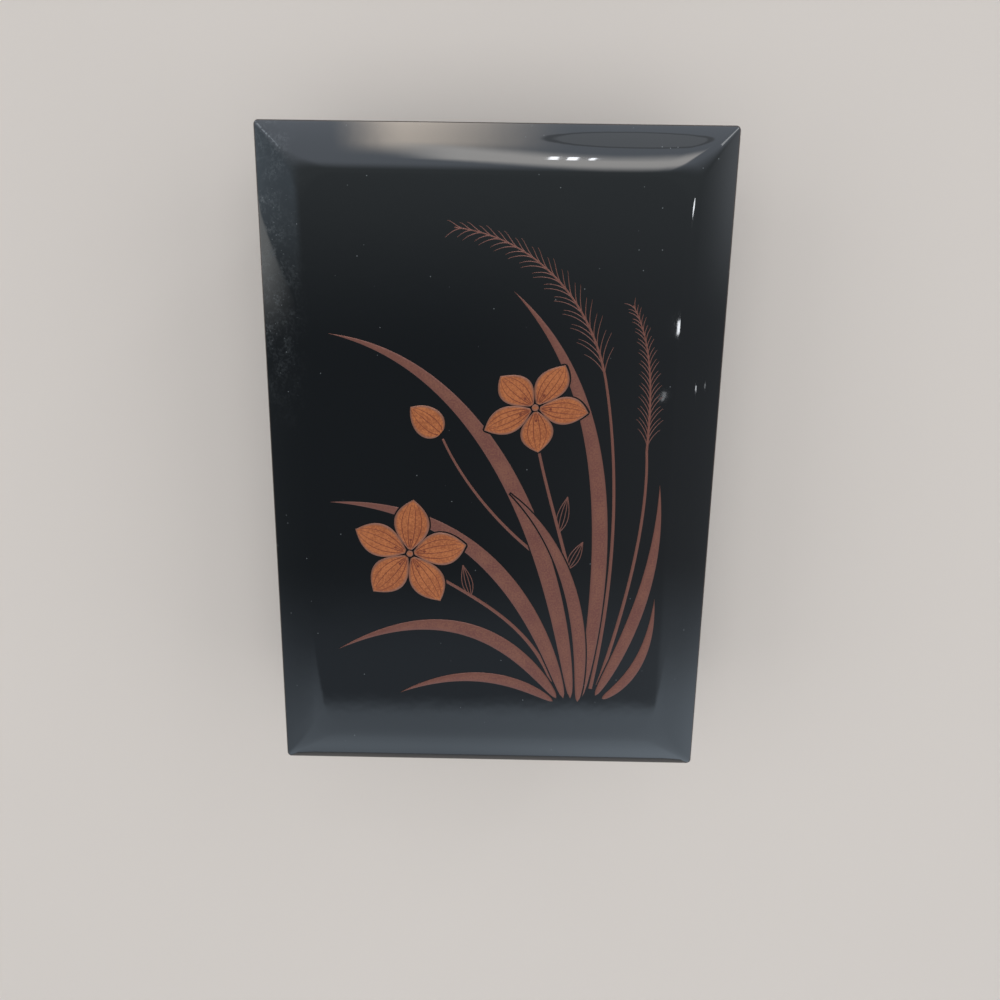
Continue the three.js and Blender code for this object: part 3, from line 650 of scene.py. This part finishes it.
def metal_powder(name, body, patches, edge_sheen, roughness, metallic):
    """Metal powder sprinkled on wet lacquer and burnished. It is finely grained and satin, and it drifts from
    one tone to another as the powder thins. A greyer tone along its edge is a painted sheen of the rounded
    edge. Real powder is several times finer than the grain here, which is as coarse as it needs to be to
    show."""
    material = new_material(name)
    place = add_node(material, "ShaderNodeTexCoord")
    grain = add_node(material, "ShaderNodeTexNoise", Vector=place.outputs["Object"],
                     Scale=1 / POWDER_GRAIN, Detail=1.0)
    drift = add_node(material, "ShaderNodeTexNoise", Vector=place.outputs["Object"],
                     Scale=1 / POWDER_DRIFT, Detail=2.0)
    thin = add_node(material, "ShaderNodeMath", {"operation": "MULTIPLY_ADD"}, _0=grain.outputs["Fac"],
                    _1=GRAIN_TO_DRIFT, _2=drift.outputs["Fac"])
    thin = add_node(material, "ShaderNodeMapRange", Value=thin.outputs[0], From_Min=POWDER_LIMITS[0],
                    From_Max=POWDER_LIMITS[1])
    tone = add_node(material, "ShaderNodeMix", {"data_type": "RGBA"}, _0=thin.outputs[0],
                    _6=linear(body), _7=linear(patches))
    # A greyer tone along the edge: a painted sheen of the rounded edge.
    edge = add_node(material, "ShaderNodeSeparateXYZ", Vector=place.outputs["UV"]).outputs["Y"]
    edge = add_node(material, "ShaderNodeMapRange", {"interpolation_type": "SMOOTHSTEP"}, Value=edge,
                    From_Min=EDGE_SHEEN_WIDTH[0], From_Max=EDGE_SHEEN_WIDTH[1], To_Min=1.0, To_Max=0.0)
    tone = add_node(material, "ShaderNodeMix", {"data_type": "RGBA"}, _0=edge.outputs[0],
                    _6=tone.outputs[2], _7=linear(edge_sheen))
    bump = add_node(material, "ShaderNodeBump", Height=grain.outputs["Fac"], Strength=POWDER_BUMP,
                    Distance=0.1 * MM)
    shader = add_node(material, "ShaderNodeBsdfPrincipled", Base_Color=tone.outputs[2], Roughness=roughness,
                      Metallic=metallic, Normal=bump.outputs[0])
    add_node(material, "ShaderNodeOutputMaterial", Surface=shader.outputs[0])
    return material


def slanted(point, flower):
    """A point of a flower seen at a slant: pressed flat across its lean, and moved to its centre."""
    leaning = turned(point, -flower["lean"])
    leaning.y *= flower["flatten"]
    return turned(leaning, flower["lean"]) + Vector(flower["centre"])


def outlined_patch(edge, put, steps):
    """A patch symmetric about the X axis. edge is half its outline, and put lays a point of it in place."""
    def half(t):
        return max(edge(t)[0].y, FINEST_HALF_WIDTH)

    def place(t, v, grow=0.0):
        along = edge(t)[0].x + grow * (2 * t - 1)
        return put(Vector((along, v * (half(t) + grow))))
    return Patch(place, half, steps, across=16)


def petal_patch(flower, number):
    radius, turn = flower["radius"], flower["turn"] + number * 360 / PETAL_COUNT
    edge = bezier((PETAL_FOOT, *(radius * Vector(bend) for bend in PETAL_BENDS), (radius, 0)))
    return outlined_patch(edge, lambda point: slanted(turned(point, turn), flower), steps=32)


def vein_patch(petal, share, length=0.9):
    """A fine line along a petal that keeps one share of the way from its middle to its edge."""
    path = path_along(lambda t: petal.place(VEIN_START + t * (length - VEIN_START), share))
    return line_patch(path, lambda t: VEIN_HALF_WIDTH * (1 - VEIN_TAPER * t), steps=24, across=2)


def disc_patch(centre, radius):
    """A round dot, as a strip that widens and narrows."""
    def path(t):
        return Vector(centre) + Vector((-radius * math.cos(math.pi * t), 0)), Vector((1, 0))
    return line_patch(path, lambda t: radius * math.sin(math.pi * t), steps=12, across=8)


# The third colour given to each powder is painted along its edge, as a painted sheen of the rounded edge.
gold_powder = metal_powder("gold_powder", "#92502c", "#b26b3e", "#7f5443", roughness=0.42, metallic=0.2)
red_lacquer = metal_powder("red_brown_lacquer", "#6a2b12", "#7a381c", "#6a2b12", roughness=0.4, metallic=0.0)
laid_over = []
petals_laid = []
for flower in FLOWERS:
    petals = [petal_patch(flower, number) for number in range(PETAL_COUNT)]
    petals_laid += petals
    piece = raise_motif(f"petals_{flower['name']}", [*petals, disc_patch(flower["centre"], HEART_RADIUS)],
                        PETAL_THICKNESS, gold_powder)
    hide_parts(f"bellflower_{flower['name']}")
    drawn = [vein_patch(petal, share) for petal in petals for share in VEINS]
    for number in range(PETAL_COUNT):
        turn = flower["turn"] + number * 360 / PETAL_COUNT
        foot, tip = (slanted(turned(Vector((reach, 0)), turn), flower)
                     for reach in (STAMEN_FOOT, STAMEN_REACH))
        stamen = path_along(lambda t, foot=foot, tip=tip: foot.lerp(tip, t))
        drawn += [line_patch(stamen, lambda t: STAMEN_HALF_WIDTH, steps=6, across=2),
                  disc_patch(tip, STAMEN_TIP_RADIUS)]
    piece = raise_motif(f"veins_{flower['name']}", drawn, VEIN_THICKNESS, red_lacquer,
                        foot=PETAL_THICKNESS - VEIN_SINK)

# Bud
# A closed bellflower bud, egg-shaped and pointed, with the folds of its petals drawn on it in red-brown.

BUD_CENTRE, BUD_ANGLE, BUD_RADIUS = Vector((-17, 14)), 140, 4.6
BUD_OUTLINE = ((-1.0, 0.25), (-0.7, 1.15), (0.55, 1.1), (1.25, 0.0))
BUD_FOLDS, BUD_FOLD_LENGTH = (-0.45, 0.0, 0.45), 0.94

bud_edge = bezier([(x * BUD_RADIUS, y * BUD_RADIUS) for x, y in BUD_OUTLINE])
bud = outlined_patch(bud_edge, lambda point: turned(point, BUD_ANGLE) + BUD_CENTRE, steps=24)
piece = raise_motif("bud", [bud], PETAL_THICKNESS, gold_powder)
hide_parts("bellflower_bud")
folds = [vein_patch(bud, share, BUD_FOLD_LENGTH) for share in BUD_FOLDS]
piece = raise_motif("bud_folds", folds, VEIN_THICKNESS, red_lacquer, foot=PETAL_THICKNESS - VEIN_SINK)
laid_over += petals_laid + [bud]

# Grass blades
# Long arching leaves that swell from a narrow foot and run out to a fine point, dusted with copper powder.
# Three of them pass over the other five.

BLADE_FOOT, BLADE_TIP = 0.45, 0.9
BLADE_PEAK = BLADE_FOOT / (BLADE_FOOT + BLADE_TIP)
BLADE_MOST = BLADE_PEAK ** BLADE_FOOT * (1 - BLADE_PEAK) ** BLADE_TIP
NEAR_THICKNESS, FAR_THICKNESS = 0.28, 0.18
NEAR_BLADES = (
    ("inner", 3.6, ((25, -65), (27, -40), (20, -18), (5, -5))),
    ("low", 4.0, ((19, -64), (4, -42), (-16, -36), (-42, -50))),
    ("bottom", 3.0, ((18, -65), (4, -56), (-10, -56), (-25, -63))),
)
FAR_BLADES = (
    ("tall", 4.2, ((26, -64), (34, -10), (28, 26), (5, 47))),
    ("high", 4.6, ((23, -64), (17, -14), (-4, 30), (-42, 36))),
    ("middle", 4.4, ((21, -64), (10, -26), (-12, -8), (-43, -8))),
    ("right", 3.4, ((30, -63), (41, -42), (46, -22), (44.5, -2))),
    ("short", 2.8, ((32, -64), (41, -58), (45, -48), (45, -34))),
)


def blade_patch(points, width):
    def half_width(t):
        return width / 2 * t ** BLADE_FOOT * (1 - t) ** BLADE_TIP / BLADE_MOST
    return line_patch(bezier(points), half_width, steps=90, across=10)


copper_powder = metal_powder("copper_powder", "#663b35", "#7a4f40", "#6d443a", roughness=0.45, metallic=0.2)
for blades, thickness in ((NEAR_BLADES, NEAR_THICKNESS), (FAR_BLADES, FAR_THICKNESS)):
    patches = []
    for name, width, points in blades:
        patches.append(blade_patch(points, width))
        piece = raise_motif(f"blade_{name}", patches[-1:], thickness, copper_powder)
        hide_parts(f"grass_blade_{name}")
    laid_over += patches

# Flower stalks
# Thin stalks that carry the flowers and the bud, with small leaves drawn in outline only.

STALK_THICKNESS, STALK_TAPER = 0.1, 0.35
UPPER_WIDTH, LOWER_WIDTH, BUD_STALK_WIDTH = 1.1, 1.1, 0.9
LEAF_VEIN_SHARE, LEAF_LINE_HALF_WIDTH, LEAF_FULLNESS = 0.36, 0.11, 0.8
UPPER_STALK = ((26.5, -60), (26, -34), (16, -12), (11.5, 10))
LOWER_STALK = ((17.6, -59), (10, -40), (-6, -34), (-20, -25))
BUD_STALK_SHARE, BUD_STALK = 0.43, ((8, -20), (-6, -6), (-13, 9.5))
UPPER_LEAVES = ((0.62, 78, 10, 3.0), (0.47, 64, 8.5, 2.8))
LOWER_LEAVES = ((0.66, 104, 9, 2.8),)


def stalk_patch(points, width):
    return line_patch(bezier(points), lambda t: width / 2 * (1 - STALK_TAPER * t), steps=60, across=4)


def leaf_lines(stalk, leaves):
    """The outline and two veins of each leaf, given as (share up the stalk, angle, length, width)."""
    patches = []
    for share, angle, length, width in leaves:
        foot = bezier(stalk)(share)[0]
        for side in (-1, -LEAF_VEIN_SHARE, LEAF_VEIN_SHARE, 1):
            def spot(t, foot=foot, side=side, angle=angle, length=length, width=width):
                bulge = side * width / 2 * math.sin(math.pi * t ** LEAF_FULLNESS)
                return foot + turned(Vector((length * t, bulge)), angle)
            patches.append(line_patch(path_along(spot), lambda t: LEAF_LINE_HALF_WIDTH, steps=24, across=2))
    return patches


stalks = {
    "upper": [stalk_patch(UPPER_STALK, UPPER_WIDTH), *leaf_lines(UPPER_STALK, UPPER_LEAVES),
              stalk_patch((bezier(UPPER_STALK)(BUD_STALK_SHARE)[0], *BUD_STALK), BUD_STALK_WIDTH)],
    "lower": [stalk_patch(LOWER_STALK, LOWER_WIDTH), *leaf_lines(LOWER_STALK, LOWER_LEAVES)],
}
for name, patches in stalks.items():
    piece = raise_motif(f"stalk_{name}", patches, STALK_THICKNESS, copper_powder)
    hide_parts(f"bellflower_stalk_{name}")

# Grass plumes
# Two nodding heads of plume grass on thin stalks. Each hair is one fine raised line that leaves the stalk
# almost along it, opens out, and droops.

HAIR_PAIRS, HAIR_OPENING, HAIR_DROOP = 24, 27, 0.16
HAIR_BENDS = ((0.35, 0.4), (0.72, 1.0), (1.0, 1.0))
FIRST_HAIR, HAIR_STRETCH, SHORT_HAIR = 0.03, 0.94, 0.82
PLUME_STALK_WIDTH, HEAD_HALF_WIDTH, HAIR_HALF_WIDTH, PLUME_TAPER = 1.0, 0.32, 0.13, 0.6
PLUMES = {
    "upper": {"stalk": ((28.5, -61), (34, -30), (34, 0), (29, 25)),
              "head": ((29, 25), (25, 44), (11, 60), (-10, 62)), "hair": 10.5},
    "right": {"stalk": ((30.5, -60), (38, -34), (42, -10), (40.5, 7)),
              "head": ((40.5, 7), (41, 20), (41, 34), (35, 44)), "hair": 8},
}


def hair_patch(head, share, hand, length):
    """One hair. It starts along the head, and hand is 1 or -1 for the side it opens to."""
    foot, direction = head(share)
    heading = math.degrees(math.atan2(direction.y, direction.x))
    early, late, tip = (foot + turned(Vector((reach * length, 0)), heading + hand * opened * HAIR_OPENING)
                        for reach, opened in HAIR_BENDS)
    path = bezier((foot, early, late, tip + Vector((0, -HAIR_DROOP * length))))
    return line_patch(path, lambda t: HAIR_HALF_WIDTH * (1 - PLUME_TAPER * t), steps=12, across=2)


for name, plume in PLUMES.items():
    head = bezier(plume["head"])
    patches = [stalk_patch(plume["stalk"], PLUME_STALK_WIDTH),
               line_patch(head, lambda t: HEAD_HALF_WIDTH * (1 - PLUME_TAPER * t), steps=40, across=4)]
    for number in range(HAIR_PAIRS):
        share = FIRST_HAIR + HAIR_STRETCH * number / (HAIR_PAIRS - 1)
        length = plume["hair"] * (1 - PLUME_TAPER * share) * (1 if number % 2 else SHORT_HAIR)
        patches += [hair_patch(head, share, hand, length) for hand in (1, -1)]
    piece = raise_motif(f"plume_{name}", patches, STALK_THICKNESS, copper_powder)
    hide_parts(f"grass_plume_{name}")
